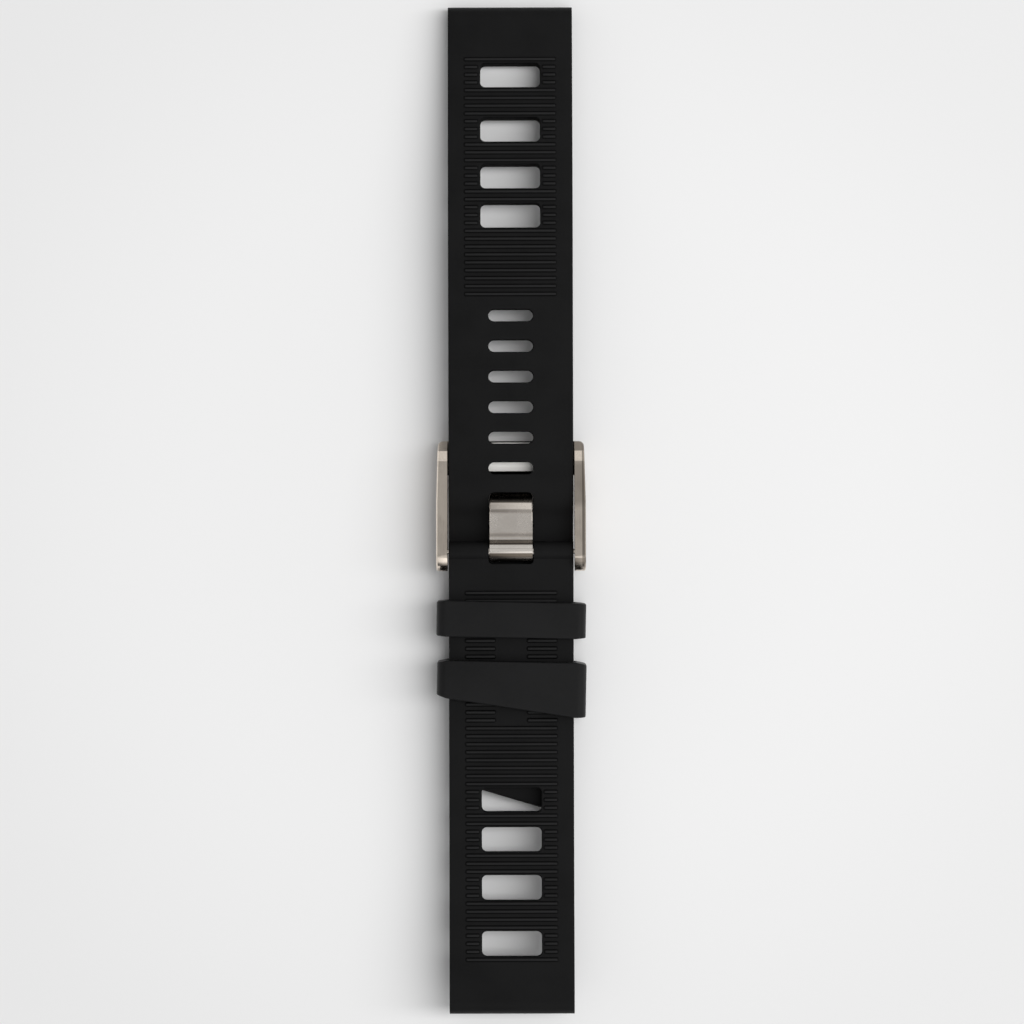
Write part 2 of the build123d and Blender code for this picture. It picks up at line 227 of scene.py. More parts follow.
# Walls of vents and holes darker: painted shade
wall_shade_colour = (0.0008, 0.0008, 0.0008, 1)
wall_slope = (-0.35, 0.35, 0.1)
wall_reach = (4.9, 6.0)
wall_ends = (74.0, 75.0)
wall_dull = 0.35
# Rims paler: partly wear, partly painted highlight
rim_radius = 0.22
rim_wear_and_highlight = 0.15

# Steel: a finish is its roughness, streaks, specks and depth of grain in millimetres
frame_tones = ((0.54, 0.46, 0.385, 1), (0.92, 0.82, 0.71, 1))
frame_finish = (0.2, 0.1, 0.03, 0.0006)
tongue_tones = ((0.6, 0.525, 0.455, 1), (0.95, 0.87, 0.79, 1))
tongue_finish = (0.24, 0.04, 0.25, 0.002)
spring_bar_tones = ((0.5, 0.45, 0.4, 1), (0.8, 0.74, 0.68, 1))
spring_bar_finish = (0.25, 0.1, 0.05, 0.001)
steel_levels = (0.3, 0.6)
steel_grain = 0.3
steel_patch = 3.0
patch_shine = 0.03
speck_size = 0.22
speck_reach = (0.6, 0.72)
speck_grain = 0.25
speck_shine = (0.01, 0.1)
streak_stretch = (5.0, 0.35, 5.0)
streak_rise = 4
# Edges paler partly as polish and partly as painted highlight
steel_edge = 0.2
edge_samples = 4
edge_polish_and_highlight = 0.45
edge_dots = (0.75, 0.98)
upward_reach = (0.2, 0.5)

# Bands of painted shade and painted highlight across the steel, where its reflections fall darker
# or brighter: from and to along Y, softness, share on the left and on the right, and colour
# Colours of painted shade, painted highlight and deep painted shade
painted_shade_colour = (0.16, 0.135, 0.11, 1)
painted_highlight_colour = (0.99, 0.93, 0.86, 1)
shade_colour = (0.05, 0.042, 0.035, 1)
frame_bands = (
    (9.16, 12.0, 0.08, 0.35, 0.85, painted_shade_colour),
    (0.6, 7.4, 0.8, 0.0, 0.38, painted_shade_colour),
    (-8.75, -7.8, 0.15, 0.0, 0.75, painted_shade_colour))
tongue_bands = (
    (0.9, 7.0, 0.1, 0.85, 0.85, painted_shade_colour),
    (0.1, 0.9, 0.1, 0.15, 0.15, painted_shade_colour),
    (-0.7, -0.15, 0.28, 0.4, 0.4, painted_shade_colour),
    (-3.75, -0.75, 0.15, 0.55, 0.55, painted_highlight_colour),
    (-4.4, -3.95, 0.15, 0.38, 0.38, painted_shade_colour),
    (-4.86, -4.57, 0.06, 0.9, 0.9, painted_highlight_colour),
    (-5.72, -4.94, 0.1, 0.64, 0.64, painted_shade_colour),
    (-5.72, -5.42, 0.06, 0.75, 0.75, shade_colour),
    (-7.05, -5.79, 0.06, 1.0, 1.0, painted_highlight_colour),
    (-6.41, -6.29, 0.06, 0.25, 0.25, painted_shade_colour),
    (-7.8, -7.07, 0.16, 1.0, 1.0, painted_shade_colour))
band_sides = (-1.0, 1.0)

# The shaded outer rim of the right arm: its place along X, softness and share
frame_rim = (11.27, 0.06, 0.69)

# The tongue's tilted and rippled barrel: from and to along Y, and rise
tongue_tilt = (-7.05, -5.79, 42.0)
tongue_ripple = (-8.6, -5.9, 3.0)
ripple_stretch = (1.3, 0.8, 0.5)
ripple_soft = 0.2

# The front bar's top, painted in shade, and the stretch of it that the adjusting holes show,
# painted pale and not metal as painted light
front_bar_top = (5.1, 11.0)
front_bar_reach = (5.93, 10.52)
front_bar_half = 9.6
front_bar_soft = 0.1
front_bar_painted_light = (0.98, 0.96, 0.92, 1)
front_bar_metal = 0.0


def rounded_ring(length, width, corners, steps):
    """Points of a rounded rectangle; corners holds the radii at its upper and its lower side."""
    points = []
    for quarter, (su, sv) in enumerate(((1, 1), (-1, 1), (-1, -1), (1, -1))):
        corner = max(tiny, min(corners[quarter // 2], length / 2 - tiny, width / 2 - tiny))
        for step in range(steps + 1):
            angle = (quarter + step / steps) * pi / 2
            u = su * (length / 2 - corner) + corner * cos(angle)
            v = sv * (width / 2 - corner) + corner * sin(angle)
            points.append((u, v))
    return points


def loft(rings):
    """Points and faces of a closed form through rings of equal counts."""
    count = len(rings[0])
    points = [point for ring in rings for point in ring]
    faces = [tuple(range(count)), tuple(range(len(points) - count, len(points)))]
    for first in range(0, len(points) - count, count):
        for j in range(count):
            k = (j + 1) % count
            faces.append((first + j, first + k, first + count + k, first + count + j))
    return points, faces


def gather(name, forms):
    """One object of several closed forms, with their faces turned outward."""
    points, faces = [], []
    for form_points, form_faces in forms:
        first = len(points)
        points += form_points
        faces += [tuple(first + index for index in face) for face in form_faces]
    mesh = bpy.data.meshes.new(name)
    mesh.from_pydata(points, [], faces)
    clean(mesh)
    piece = bpy.data.objects.new(name, mesh)
    bpy.context.scene.collection.objects.link(piece)
    return piece


def clean(mesh):
    """Merges points that meet, drops flat faces and turns the rest outward."""
    form = bmesh.new()
    form.from_mesh(mesh)
    bmesh.ops.remove_doubles(form, verts=form.verts, dist=tiny)
    bmesh.ops.dissolve_degenerate(form, edges=form.edges, dist=tiny / 10)
    bmesh.ops.recalc_face_normals(form, faces=form.faces)
    form.to_mesh(mesh)
    form.free()


def combine(piece, tools, operation):
    """Adds the tools' form to the piece or cuts it out, and removes the tools."""
    change = piece.modifiers.new("change", "BOOLEAN")
    change.object = tools
    change.operation = operation
    change.solver = "EXACT"
    graph = bpy.context.evaluated_depsgraph_get()
    mesh = bpy.data.meshes.new_from_object(piece.evaluated_get(graph))
    piece.modifiers.clear()
    piece.data = mesh
    bpy.data.objects.remove(tools)


def stack(centre, size, corner, profile, steps):
    """A closed form over a rounded rectangle; the profile gives its outset at each height."""
    rings = []
    for outset, height in profile:
        radius = corner + outset
        ring = rounded_ring(size[0] + 2 * outset, size[1] + 2 * outset, (radius, radius), steps)
        rings.append([(centre[0] + u, centre[1] + v, height) for u, v in ring])
    return loft(rings)


def through_profile(low, rim):
    """Profile of a hole from above the band to below it, with a rounded rim at both faces."""
    turn = [radians(angle) for angle in rim_degrees]
    upper = [(rim - rim * cos(a), -rim + rim * sin(a)) for a in turn]
    lower = [(outset, low - height) for outset, height in reversed(upper)]
    return [(upper[0][0], cut_past)] + upper + lower + [(lower[-1][0], low - cut_past)]


def cross_bar(s, h, radius):
    """A round bar across the band."""
    turn = [2 * pi * k / bore_steps for k in range(bore_steps)]
    rings = []
    for x in (-half_width - cut_past, half_width + cut_past):
        rings.append([(x, s + radius * cos(a), h + radius * sin(a)) for a in turn])
    return loft(rings)


def band_base(name, rows):
    """The plain band in flat space; a row is its place, slant, half width, top, low and rounds."""
    rings = []
    for s, slant, half, top, low, rounds in rows:
        middle = (top + low) / 2
        ring = rounded_ring(2 * half, top - low, rounds, edge_steps)
        rings.append([(x, s + (half_width - x) * slant, middle + h) for x, h in ring])
    return gather(name, [loft(rings)])


def ease(value):
    """Quarter circle from 0 at 0 to 1 at 1."""
    return sqrt(max(0, 1 - (1 - min(value, 1)) ** 2))


def band_rounds(near_lug):
    """Radii of a band's edges, from 0 along its run to 1 at its lug."""
    return side_rounds[0], side_rounds[1] + (lug_round - side_rounds[1]) * near_lug


def long_low(s):
    """Height of the long strap's outer face below its wrist face."""
    grow = min(max((s - taper[0]) / (taper[1] - taper[0]), 0), 1)
    flare = max(s - (long_end - lug_radius - lug_flare), 0) / lug_flare
    thickness = tail_thickness + (vent_thickness - tail_thickness) * grow
    return -(thickness + (2 * lug_radius - vent_thickness) * flare)


def lug_rows(end):
    """Rows of the rolled lug end."""
    rows = []
    for step in range(1, arc_steps + 1):
        angle = step / arc_steps * pi / 2
        rise = lug_radius * cos(angle)
        s = end - lug_radius + lug_radius * sin(angle)
        rounds = (side_rounds[0], lug_round)
        rows.append((s, 0, half_width, rise - lug_radius, -rise - lug_radius, rounds))
    return rows


def long_rows():
    """Rows of the long strap from its slanted tip to its lug."""
    rows = []
    places = [depth - tip_reach for depth in tip_depths]
    while places[-1] < long_end - lug_radius - row_pitch:
        inside = bend_start + bend_rows[0] < places[-1] < bend_start + bend_rows[1]
        places.append(places[-1] + row_pitch / (2 if inside else 1))
    places.append(long_end - lug_radius)
    for s in places:
        depth = s + tip_reach
        slant = tan(radians(tip_slant)) * max(0, 1 - depth / tip_fade)
        half = half_width - tip_corner * (1 - ease(depth / tip_corner))
        top = -tip_rounds[0] * (1 - ease(depth / tip_rounds[0]))
        low = long_low(s) + tip_rounds[1] * (1 - ease(depth / tip_rounds[1]))
        near_lug = min(1, max(0, (s - long_end + lug_radius + lug_flare) / lug_flare))
        rows.append((s, slant, half, top, low, band_rounds(near_lug)))
    return rows + lug_rows(long_end)


def short_rows():
    """Rows of the short strap from its roll round the spring bar to its lug."""
    rows = []
    for degree in roll_degrees:
        s = roll_radius * sin(radians(degree))
        rise = roll_radius * cos(radians(degree))
        low = roll_centre - (rise if degree < 0 else roll_radius)
        rounds = side_rounds if degree > 0 else roll_rounds
        rows.append((s, 0, half_width, roll_centre + rise, low, rounds))
    s = roll_end
    while s < short_end - lug_radius:
        flare = max(s - (short_end - lug_radius - lug_flare), 0) / lug_flare
        low = -short_thickness - (2 * lug_radius - short_thickness) * flare
        rows.append((s, 0, half_width, 0, low, band_rounds(flare)))
        s += row_pitch
    rounds = (side_rounds[0], lug_round)
    rows.append((short_end - lug_radius, 0, half_width, 0, -2 * lug_radius, rounds))
    return rows + lug_rows(short_end)


def rib_forms(lug_end, ribs, count, patch):
    """Raised cross ribs, parted where a vent or the bare patch lies."""
    forms = []
    beside_vents = {vent + step for vent in vent_ribs for step in (-1, 0, 1)}
    for index in range(count):
        s = lug_end - ribs[0] - index * ribs[1]
        gap = 0
        if index in beside_vents:
            gap = vent_size[0] + vent_border
        elif index in patch:
            gap = patch_width
        length = (rib_size[0] - gap) / (2 if gap else 1)
        for side in (-1, 1) if gap else (0,):
            spot = (side * (gap + length) / 2, s)
            size = (length, rib_size[1])
            forms.append(stack(spot, size, rib_corner, rib_profile, rib_corner_steps))
    return forms


def vent_forms(lug_end, ribs, low):
    """Cutters of the vents."""
    forms = []
    for index in vent_ribs:
        spot = (0, lug_end - ribs[0] - index * ribs[1])
        profile = through_profile(low, vent_rim)
        forms.append(stack(spot, vent_size, vent_corner, profile, vent_corner_steps))
    return forms


def hole_forms():
    """Cutters of the adjusting holes, but for the one that the tongue stands in."""
    forms = []
    for step in range(-holes_after, holes_before + 1):
        if step:
            s = hole_use + step * hole_pitch
            profile = through_profile(long_low(s), hole_rim)
            forms.append(stack((0, s), hole_size, hole_corner, profile, hole_corner_steps))
    return forms


def along_run(start, stretches, distance):
    """Wrist face point and heading at a distance along a run of straight and bent stretches."""
    y, z = start
    heading = 0
    for length, turn in stretches:
        part = min(distance, length)
        if turn:
            radius = length / radians(turn)
            end = heading + turn * part / length
            y += radius * (sin(radians(end)) - sin(radians(heading)))
            z -= radius * (cos(radians(end)) - cos(radians(heading)))
            heading = end
        else:
            y += part * cos(radians(heading))
            z += part * sin(radians(heading))
        distance -= part
        if distance <= 0:
            break
    return y, z, heading


def mark_crowns(piece):
    """Keeps how far each point of a flat band stands up as a rib, from 0 to 1, for its finish:
    painted highlight on the crowns and painted shade on the flanks.
    """
    crowns = piece.data.attributes.new("rib_crown", "FLOAT", "POINT")
    for vertex, crown in zip(piece.data.vertices, crowns.data):
        past_roll = vertex.co.y > 2 * roll_radius
        crown.value = min(max(vertex.co.z / rib_profile[-1][1], 0), 1) if past_roll else 0


def bend_onto(piece, start, stretches, turned):
    """Bends a flat band onto its run, and turns the short strap to run towards -Y."""
    mark_crowns(piece)
    side = -1 if turned else 1
    for vertex in piece.data.vertices:
        x, s, h = vertex.co
        y, z, heading = along_run(start, stretches, s)
        y -= h * sin(radians(heading))
        z += h * cos(radians(heading))
        vertex.co = (side * x, side * y, z)
    piece.data.update()


def settle(piece, material, body, node, smooth=smooth_angle):
    """Moves a finished form from its layout to the frame, with its finish, body, node and slot."""
    for vertex in piece.data.vertices:
        vertex.co = (vertex.co.x * mm, (vertex.co.y + axis_y) * mm, vertex.co.z * mm)
    piece.data.update()
    piece.data.shade_smooth()
    piece.data.set_sharp_from_angle(angle=radians(smooth))
    piece.data.materials.clear()
    piece.data.materials.append(material)
    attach(piece, body)
    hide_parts(node)


def make_long_strap():
    """The long strap with its ribs, vents, adjusting holes and lug bore."""
    piece = band_base("long_strap_rubber", long_rows())
    ribs = rib_forms(long_end, long_ribs, rib_counts[0], ())
    combine(piece, gather("ribs", ribs), "UNION")
    tools = vent_forms(long_end, long_ribs, -vent_thickness) + hole_forms()
    tools.append(cross_bar(long_end - lug_radius, -lug_radius, lug_bore))
    combine(piece, gather("cuts", tools), "DIFFERENCE")
    inner = (bend_radius - tail_thickness / 2) * radians(bend_turn)
    outer = (bend_radius + tail_thickness / 2) * radians(bend_turn)
    flat = droop[0] - bend_start - inner - outer
    stretches = ((bend_start, 0), (inner, bend_turn), (outer, -bend_turn), (flat, 0),
                 (droop[1], -droop[2]), (long_end, 0))
    bend_onto(piece, long_start, stretches, False)
    used = stack((0, hole_use_y), hole_use_size, hole_corner, hole_use_profile, hole_corner_steps)
    combine(piece, gather("used_hole", [used]), "DIFFERENCE")
    return piece


def make_short_strap():
    """The short strap with its roll, notch, ribs, vents and bores."""
    piece = band_base("short_strap_rubber", short_rows())
    ribs = rib_forms(short_end, short_ribs, rib_counts[1], rib_patch)
    combine(piece, gather("ribs", ribs), "UNION")
    tools = vent_forms(short_end, short_ribs, -short_thickness)
    tools.append(cross_bar(short_end - lug_radius, -lug_radius, lug_bore))
    middle = (0, notch_size[1] - roll_radius - notch_cut / 2)
    size = (notch_size[0], notch_cut)
    tools.append(stack(middle, size, notch_corner, notch_profile, vent_corner_steps))
    combine(piece, gather("cuts", tools), "DIFFERENCE")
    combine(piece, gather("bar", [cross_bar(0, roll_centre, bar_bore)]), "DIFFERENCE")
    stretches = ((short_rise[0], 0), (short_rise[1], short_rise[2]), (short_end, 0))
    bend_onto(piece, short_start, stretches, True)
    return piece


def make_keeper(name, centre, length, slant, waist):
    """A keeper's closed loop, with a waist down its sides; a slant cuts its far edge across."""
    corners = (keeper_corner, keeper_corner)
    outer = rounded_ring(2 * keeper_half, keeper_height, corners, keeper_corner_steps)
    corners = (keeper_inner_corner, keeper_inner_corner)
    inner_height = keeper_height - 2 * keeper_wall
    inner = rounded_ring(2 * keeper_inner_half, inner_height, corners, keeper_corner_steps)
    section = rounded_ring(length / 2, keeper_wall, keeper_rounds, edge_steps)
    points = []
    for (ox, oz), (ix, iz) in zip(outer, inner):
        for v, depth in section:
            share = 1 / 2 - depth / keeper_wall
            x = ox + (ix - ox) * share
            z = oz + (iz - oz) * share + keeper_height / 2
            cut = (keeper_half - x) * tan(radians(slant))
            y = v + (length / 4 if v > 0 else cut - length / 4)
            beside = min(max((abs(x) - half_width) / (keeper_half - half_width), 0), 1)
            points.append((x, y - copysign(waist, v) * beside, z))
    count = len(section)
    total = len(points)
    faces = []
    for first in range(0, total, count):
        for j in range(count):
            k = (j + 1) % count
            ahead = (first + count) % total
            faces.append((first + j, first + k, ahead + k, ahead + j))
    piece = gather(name, [(points, faces)])
    lean = radians(keeper_lean)
    for vertex in piece.data.vertices:
        x, y, z = vertex.co
        vertex.co = (x * cos(lean) - y * sin(lean), x * sin(lean) + y * cos(lean) + centre, z)
    return piece


def spring_line():
    """Points in the middle of the wire, from the coil spring's middle to its closed end turn."""
    low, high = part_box("spring_bar_spring")
    radius = (high[2] - low[2]) / mm / 2 - spring_wire / 2
    open_reach = high[0] / mm - spring_wire * 3 / 2
    points = []
    for step in range((spring_turns + 1) * spring_steps + 1):
        turn = step / spring_steps
        x = open_reach * min(turn / spring_turns, 1) + spring_wire * max(turn - spring_turns, 0)
        points.append((x, radius * cos(2 * pi * turn), radius * sin(2 * pi * turn)))
    return points


def make_spring_half(name, side):
    """Half of the coil spring; side is 1 for its right half and -1 for its left one."""
    rings = []
    wire = spring_wire / 2
    for x, y, z in spring_line():
        out = sqrt(y * y + z * z)
        ring = []
        for step in range(wire_sides):
            angle = 2 * pi * step / wire_sides
            grow = 1 + wire * cos(angle) / out
            across = side * (x + wire * sin(angle))
            ring.append((across, y * grow, side * z * grow + axis_height))
        rings.append(ring)
    return gather(name, [loft(rings)])


def fit_spring(material):
    """Puts the coil spring's halves in the tube; each is pressed together by its own tip."""
    for end, side in (("right", 1), ("left", -1)):
        half = make_spring_half(f"spring_bar_coil_{end}", side)
        settle(half, material, "strap", "spring_bar_spring", wire_angle)
        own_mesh(half)


class Nodes:
    """A material's or the world's node tree, with short ways to add and join nodes."""

    def __init__(self, owner):
        owner.use_nodes = True
        self.tree = owner.node_tree
        self.tree.nodes.clear()

    def add(self, kind, inputs=(), **settings):
        """Adds a node; an input is a plain value or another node's output."""
        node = self.tree.nodes.new(kind)
        for name, value in settings.items():
            setattr(node, name, value)
        for name, value in dict(inputs).items():
            if isinstance(value, bpy.types.NodeSocket):
                self.tree.links.new(value, node.inputs[name])
            else:
                node.inputs[name].default_value = value
        return node

    def maths(self, operation, *values):
        """A math node over numbers or outputs."""
        return self.add("ShaderNodeMath", dict(enumerate(values)), operation=operation).outputs[0]

    def fold(self, operation, first, *others):
        """Adds up or multiplies numbers or outputs, from left to right."""
        for other in others:
            first = self.maths(operation, first, other)
        return first

    def vector(self, operation, *values):
        """A vector math node over vectors or outputs."""
        return self.add("ShaderNodeVectorMath", dict(enumerate(values)), operation=operation)

    def axes(self, place):
        """The X, Y and Z of a place."""
        split = self.add("ShaderNodeSeparateXYZ", {0: place})
        return [split.outputs[axis] for axis in "XYZ"]

    def upward(self):
        """How far the surface looks upward, from -1 to 1."""
        return self.axes(self.add("ShaderNodeTexCoord").outputs["Normal"])[2]

    def noise(self, place, scale, detail):
        """Soft noise from 0 to 1 over a place."""
        inputs = {"Vector": place, "Scale": scale, "Detail": detail}
        return self.add("ShaderNodeTexNoise", inputs).outputs[0]

    def edges(self, radius):
        """1 on sharp outer edges and 0 on flat faces, by the normal rounded within a radius."""
        bevel = self.add("ShaderNodeBevel", {"Radius": radius * mm}, samples=edge_samples)
        hard = self.add("ShaderNodeNewGeometry").outputs["Normal"]
        dot = self.vector("DOT_PRODUCT", bevel.outputs["Normal"], hard).outputs["Value"]
        return self.ramp(dot, (edge_dots[1], edge_dots[0]), (1.0, 0.0))

    def mix(self, share, low, high):
        """A colour between two, by a share from 0 to 1."""
        inputs = {0: share, 6: low, 7: high}
        return self.add("ShaderNodeMix", inputs, data_type="RGBA", clamp_factor=True).outputs[2]

    def ramp(self, value, reach, levels, kind="SMOOTHSTEP"):
        """Maps a value's reach onto two levels."""
        inputs = {"Value": value, "From Min": reach[0], "From Max": reach[1],
                  "To Min": levels[0], "To Max": levels[1]}
        return self.add("ShaderNodeMapRange", inputs, interpolation_type=kind).outputs[0]

    def swing(self, noise, middle, swing):
        """Maps noise onto levels on both sides of a middle."""
        return self.ramp(noise, noise_reach, (middle - swing, middle + swing))


def start_material(name):
    """A new material with its nodes and its surface coordinates in millimetres."""
    material = bpy.data.materials.new(name)
    nodes = Nodes(material)
    place = nodes.add("ShaderNodeTexCoord").outputs["Object"]
    inputs = {0: place, "Scale": 1 / mm}
    scaled = nodes.add("ShaderNodeVectorMath", inputs, operation="SCALE")
    return material, nodes, scaled.outputs["Vector"]


def finish_material(nodes, colour, roughness, height, depth, settings):
    """Joins colour, roughness and a bump of a depth in millimetres to the surface shader."""
    bump = nodes.add("ShaderNodeBump", {"Height": height, "Distance": depth * mm, "Strength": 1.0})
    inputs = {"Base Color": colour, "Roughness": roughness, "Normal": bump.outputs["Normal"]}
    inputs.update(settings)
    shader = nodes.add("ShaderNodeBsdfPrincipled", inputs)
    nodes.add("ShaderNodeOutputMaterial", {"Surface": shader.outputs["BSDF"]})


def band_mask(nodes, value, low, high, soft):
    """1 where a value lies between two limits, with soft ends."""
    above = nodes.ramp(value, (low - soft, low + soft), (0.0, 1.0))
    below = nodes.ramp(value, (high - soft, high + soft), (1.0, 0.0))
    return nodes.maths("MULTIPLY", above, below)


def wall_mask(nodes, place):
    """1 on the inner walls of the vents and adjusting holes, which the light hardly reaches, for
    their painted shade.
    """
    x, y, _ = nodes.axes(place)
    across = nodes.ramp(nodes.maths("ABSOLUTE", x), wall_reach, (1.0, 0.0))
    along = nodes.ramp(nodes.maths("ABSOLUTE", y), wall_ends, (1.0, 0.0))
    return nodes.fold("MULTIPLY", across, along, band_mask(nodes, nodes.upward(), *wall_slope))


def make_rubber(name, tones, finish):
    """Moulded rubber with fine grain, smudges, painted highlight on the rib crowns, painted shade
    on the rib flanks and on the walls, and rims paler partly as wear and partly as painted
    highlight.
    """
    roughness, specular, grain_size = finish
    material, nodes, place = start_material(name)
    grain = nodes.noise(place, 1 / grain_size, fine_detail)
    smudge = nodes.noise(place, 1 / smudge_size, fine_detail)
    crown = nodes.add("ShaderNodeAttribute", attribute_name="rib_crown").outputs["Fac"]
    wall = wall_mask(nodes, place)
    tone = nodes.fold(
        "ADD",
        nodes.ramp(smudge, noise_reach, (0.0, smudge_tone)),
        # Rims paler: partly wear, partly painted highlight
        nodes.maths("MULTIPLY", nodes.edges(rim_radius), rim_wear_and_highlight),
        # Rib crowns paler: painted highlight
        nodes.maths("MULTIPLY", crown, crown_highlight_tone),
        nodes.ramp(grain, grain_reach, (0.0, grain_tone)))
    shine = nodes.fold(
        "ADD",
        nodes.swing(smudge, roughness, smudge_shine),
        nodes.swing(grain, 0, grain_shine),
        nodes.maths("MULTIPLY", wall, wall_dull))
    # Painted shade on the rib flanks and on the walls of vents and holes
    flank = band_mask(nodes, crown, *flank_reach)
    colour = nodes.mix(flank, nodes.mix(tone, *tones), flank_shade_colour)
    colour = nodes.mix(wall, colour, wall_shade_colour)
    settings = {"Specular IOR Level": specular}
    finish_material(nodes, colour, shine, grain, grain_depth, settings)
    return material


def facing_up(nodes):
    """1 on faces that look upward."""
    return nodes.ramp(nodes.upward(), upward_reach, (0.0, 1.0))


def front_bar_mask(nodes, x, y, reach):
    """1 on a stretch of the front bar's top, which shows through the adjusting holes."""
    along = band_mask(nodes, y, *reach, front_bar_soft)
    sides = (front_bar_half - front_bar_soft, front_bar_half)
    across = nodes.ramp(nodes.maths("ABSOLUTE", x), sides, (1.0, 0.0))
    return nodes.fold("MULTIPLY", along, across, facing_up(nodes))


def rim_mask(nodes, x):
    """The share of shade on the upper outer rim of the right arm."""
    middle, soft, share = frame_rim
    across = nodes.ramp(x, (middle - soft, middle + soft), (0.0, share))
    return nodes.maths("MULTIPLY", across, facing_up(nodes))


def make_steel(name, tones, finish, bands=(), ripple=(), tilt=(), front_bar=False):
    """Warm steel with satin streaks, blasted grain, specks, edges paler partly as polish and
    partly as painted highlight, and bands of painted shade and painted highlight; on the frame,
    painted shade on the right arm's rim and the front bar's top, and painted light on the front
    bar.
    """
    roughness, streaks, specks, depth = finish
    material, nodes, place = start_material(name)
    x, y, _ = nodes.axes(place)
    grain = nodes.noise(place, 1 / steel_grain, fine_detail)
    broad = nodes.noise(place, 1 / steel_patch, broad_detail)
    drawn = nodes.vector("MULTIPLY", place, streak_stretch).outputs["Vector"]
    streak = nodes.noise(drawn, 1.0, fine_detail)
    speck = nodes.noise(place, 1 / speck_size, speck_detail)
    tone = nodes.fold(
        "ADD",
        nodes.ramp(broad, noise_reach, steel_levels),
        nodes.swing(streak, 0, streaks),
        nodes.swing(grain, 0, specks * speck_grain),
        nodes.ramp(speck, speck_reach, (0.0, specks)),
        # Paler edges: partly polish, partly painted highlight
        nodes.maths("MULTIPLY", nodes.edges(steel_edge), edge_polish_and_highlight))
    spread = speck_shine[0] + specks * speck_shine[1]
    shine = nodes.maths("ADD", nodes.swing(grain, roughness, spread),
                        nodes.swing(broad, 0, patch_shine))
    height = nodes.maths("ADD", grain, nodes.maths("MULTIPLY", streak, streak_rise * streaks))
    colour = nodes.mix(tone, *tones)
    # Bands of painted shade and painted highlight
    for low, high, soft, left, right, band_colour in bands:
        strength = nodes.ramp(x, band_sides, (left, right), "LINEAR")
        share = nodes.maths("MULTIPLY", band_mask(nodes, y, low, high, soft), strength)
        colour = nodes.mix(share, colour, band_colour)
    if ripple:
        low, high, rise = ripple
        waves = nodes.vector("MULTIPLY", place, ripple_stretch).outputs["Vector"]
        wave = nodes.fold("MULTIPLY", nodes.noise(waves, 1.0, broad_detail), rise,
                          band_mask(nodes, y, low, high, ripple_soft))
        height = nodes.maths("ADD", height, wave)
    if tilt:
        low, high, rise = tilt
        height = nodes.maths("ADD", height, nodes.ramp(y, (low, high), (0.0, rise), "LINEAR"))
    settings = {"Metallic": 1.0}
    if front_bar:
        # Painted light on the front bar's top where the holes show it, painted shade on its ends
        # and on the right arm's outer rim
        bright = front_bar_mask(nodes, x, y, front_bar_reach)
        colour = nodes.mix(rim_mask(nodes, x), colour, painted_shade_colour)
        colour = nodes.mix(front_bar_mask(nodes, x, y, front_bar_top), colour, shade_colour)
        colour = nodes.mix(bright, colour, front_bar_painted_light)
        settings["Metallic"] = nodes.ramp(bright, (0.0, 1.0), (1.0, front_bar_metal), "LINEAR")
    finish_material(nodes, colour, shine, height, depth, settings)
    return material


def dress(name, material, edge=0):
    """Gives a CAD node its material and softly rounds its sharp edges."""
    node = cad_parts[name]
    node.data.materials.clear()
    node.data.materials.append(material)
    if edge:
        weld = node.modifiers.new("weld", "WELD")
        weld.merge_threshold = tiny * mm
        bevel = node.modifiers.new("edges", "BEVEL")
        bevel.width = edge * mm
        bevel.segments = round_segments
        bevel.limit_method = "ANGLE"
        bevel.angle_limit = radians(edge_angle)
        bevel.harden_normals = True


def make_world():
    """A soft studio dome, brighter towards both ends and the right, and a plain backdrop."""
    world = bpy.data.worlds.new("studio")
    bpy.context.scene.world = world
    nodes = Nodes(world)
    x, y, z = nodes.axes(nodes.add("ShaderNodeTexCoord").outputs["Generated"])
    front = nodes.ramp(y, dome_front[:2], (dome_top, dome_top + dome_front[2]))
    rear = nodes.ramp(nodes.maths("MULTIPLY", y, -1.0), dome_rear[:2], (0, dome_rear[2]))
    ends = nodes.maths("ADD", front, rear)
    fade = nodes.ramp(z, dome_fade, (dome_horizon, 1))
    side = nodes.ramp(x, (-1, 1), (1 - dome_tilt, 1 + dome_tilt), "LINEAR")
    glow = nodes.ramp(nodes.maths("ABSOLUTE", x), dome_sides[:2], (0, dome_sides[2]))
    level = nodes.maths("ADD", nodes.fold("MULTIPLY", ends, fade, side), glow)
    light = nodes.add("ShaderNodeBackground", {"Strength": level})
    backdrop = nodes.add("ShaderNodeBackground", {"Color": backdrop_colour})
    seen = nodes.add("ShaderNodeLightPath").outputs["Is Camera Ray"]
    mix = nodes.add("ShaderNodeMixShader", {0: seen, 1: light.outputs[0], 2: backdrop.outputs[0]})
    nodes.add("ShaderNodeOutputWorld", {"Surface": mix.outputs[0]})


def make_lamp():
    """A long strip lamp overhead that reaches out to the right and isn't mirrored in the strap."""
    data = bpy.data.lights.new("strip_lamp", "AREA")
    lamp = bpy.data.objects.new("strip_lamp", data)
    bpy.context.scene.collection.objects.link(lamp)
    data.shape = "RECTANGLE"
    data.size, data.size_y = lamp_size
    data.energy = lamp_power
    lamp.location = lamp_place
    lamp.visible_glossy = False
    lamp.visible_camera = False


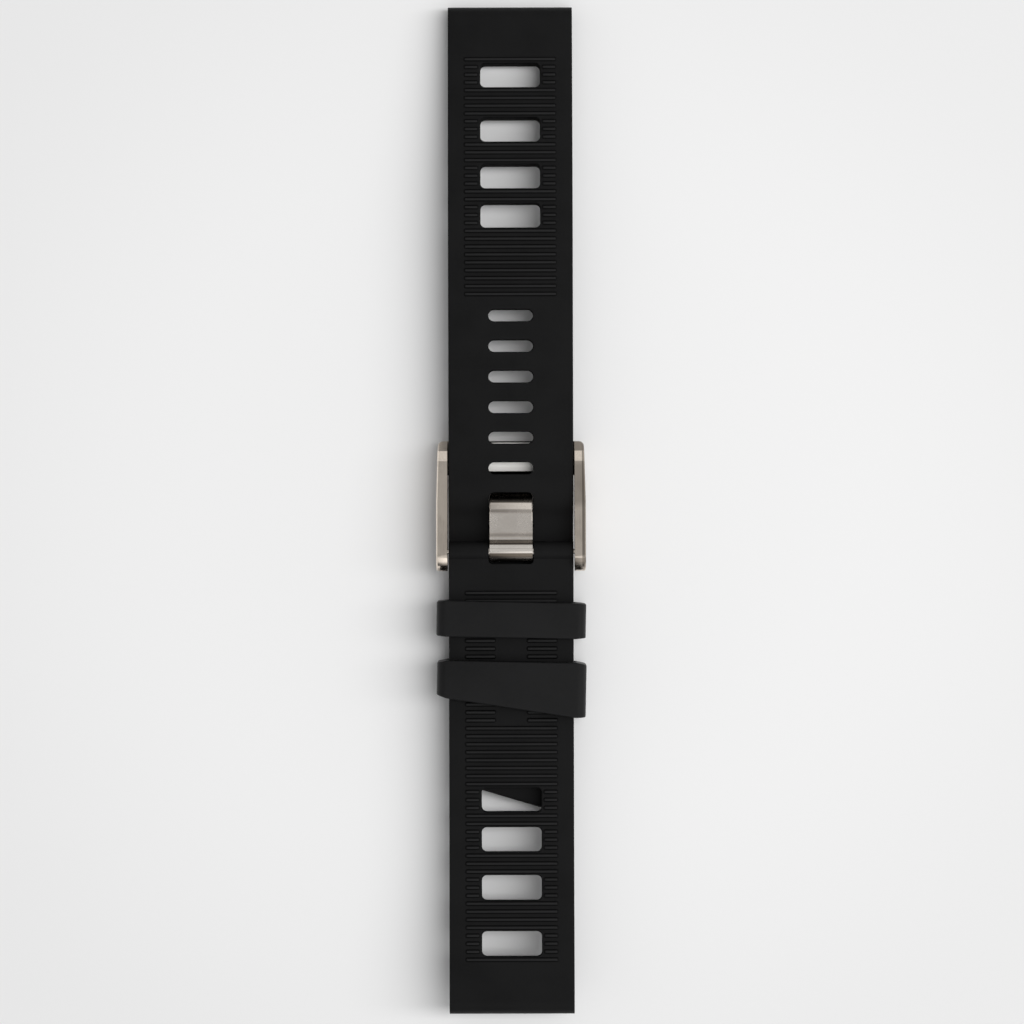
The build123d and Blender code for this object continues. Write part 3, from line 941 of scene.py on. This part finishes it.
def make_floor():
    """The pale table, its colour a touch darker away from the strap as a painted falloff of the
    light, that runs out into the backdrop.
    """
    mesh = bpy.data.meshes.new("floor")
    r = floor_reach
    mesh.from_pydata([(-r, -r, 0), (r, -r, 0), (r, r, 0), (-r, r, 0)], [], [(0, 1, 2, 3)])
    floor = bpy.data.objects.new("floor", mesh)
    bpy.context.scene.collection.objects.link(floor)
    material = bpy.data.materials.new("table")
    nodes = Nodes(material)
    place = nodes.add("ShaderNodeTexCoord").outputs["Object"]
    far = nodes.vector("LENGTH", place).outputs["Value"]
    # Darker away from the strap: painted falloff of the light
    level = nodes.ramp(far, floor_fade, floor_painted_falloff)
    colour = nodes.add("ShaderNodeCombineColor", {0: level, 1: level, 2: level}).outputs[0]
    shader = nodes.add("ShaderNodeBsdfDiffuse", {"Color": colour})
    backdrop = nodes.add("ShaderNodeEmission", {"Color": backdrop_colour, "Strength": 1.0})
    seen = nodes.add("ShaderNodeLightPath").outputs["Is Camera Ray"]
    away = nodes.maths("MULTIPLY", nodes.ramp(far, floor_to_backdrop, (0.0, 1.0)), seen)
    mix = nodes.add("ShaderNodeMixShader", {0: away, 1: shader.outputs[0], 2: backdrop.outputs[0]})
    nodes.add("ShaderNodeOutputMaterial", {"Surface": mix.outputs[0]})
    mesh.materials.append(material)


def make_camera():
    """The camera above the strap, framed as the photograph is."""
    data = bpy.data.cameras.new("camera")
    camera = bpy.data.objects.new("camera", data)
    bpy.context.scene.collection.objects.link(camera)
    data.sensor_width = sensor_width_mm
    data.lens = data.sensor_width * camera_height / (photo_size * photo_scale)
    data.clip_start = camera_height * camera_clip[0]
    data.clip_end = camera_height * camera_clip[1]
    x = (camera_centre_px[0] - photo_zero_px[0]) * photo_scale
    y = (photo_zero_px[1] - camera_centre_px[1]) * photo_scale
    camera.location = (x, y, camera_height + scale_height)
    camera.rotation_euler = (0, 0, radians(camera_roll))
    bpy.context.scene.camera = camera


def main():
    """Builds the whole scene."""
    bpy.context.scene.view_settings.view_transform = "Standard"
    make_world()
    make_lamp()
    make_floor()
    make_camera()
    strap_rubber = make_rubber("strap_rubber", strap_tones, strap_finish)
    keeper_rubber = make_rubber("keeper_rubber", keeper_tones, keeper_finish)
    frame_steel = make_steel("frame_steel", frame_tones, frame_finish,
                             bands=frame_bands, front_bar=True)
    tongue_steel = make_steel("tongue_steel", tongue_tones, tongue_finish,
                              bands=tongue_bands, ripple=tongue_ripple, tilt=tongue_tilt)
    bar_steel = make_steel("spring_bar_steel", spring_bar_tones, spring_bar_finish)
    settle(make_long_strap(), strap_rubber, "strap", "long_strap")
    settle(make_short_strap(), strap_rubber, "strap", "short_strap")
    narrow = make_keeper("keeper_narrow_loop", narrow_centre, narrow_length, 0, narrow_waist)
    settle(narrow, keeper_rubber, "keeper_narrow", "keeper_narrow")
    wide_centre = wide_front - wide_length / 2
    wide = make_keeper("keeper_wide_loop", wide_centre, wide_length, wide_slant, wide_waist)
    settle(wide, keeper_rubber, "keeper_wide", "keeper_wide")
    dress("buckle_frame", frame_steel, frame_round)
    dress("buckle_tongue", tongue_steel, tongue_round)
    for name in ("spring_bar_tube", "spring_bar_tip_left", "spring_bar_tip_right"):
        dress(name, bar_steel)
    fit_spring(bar_steel)


main()
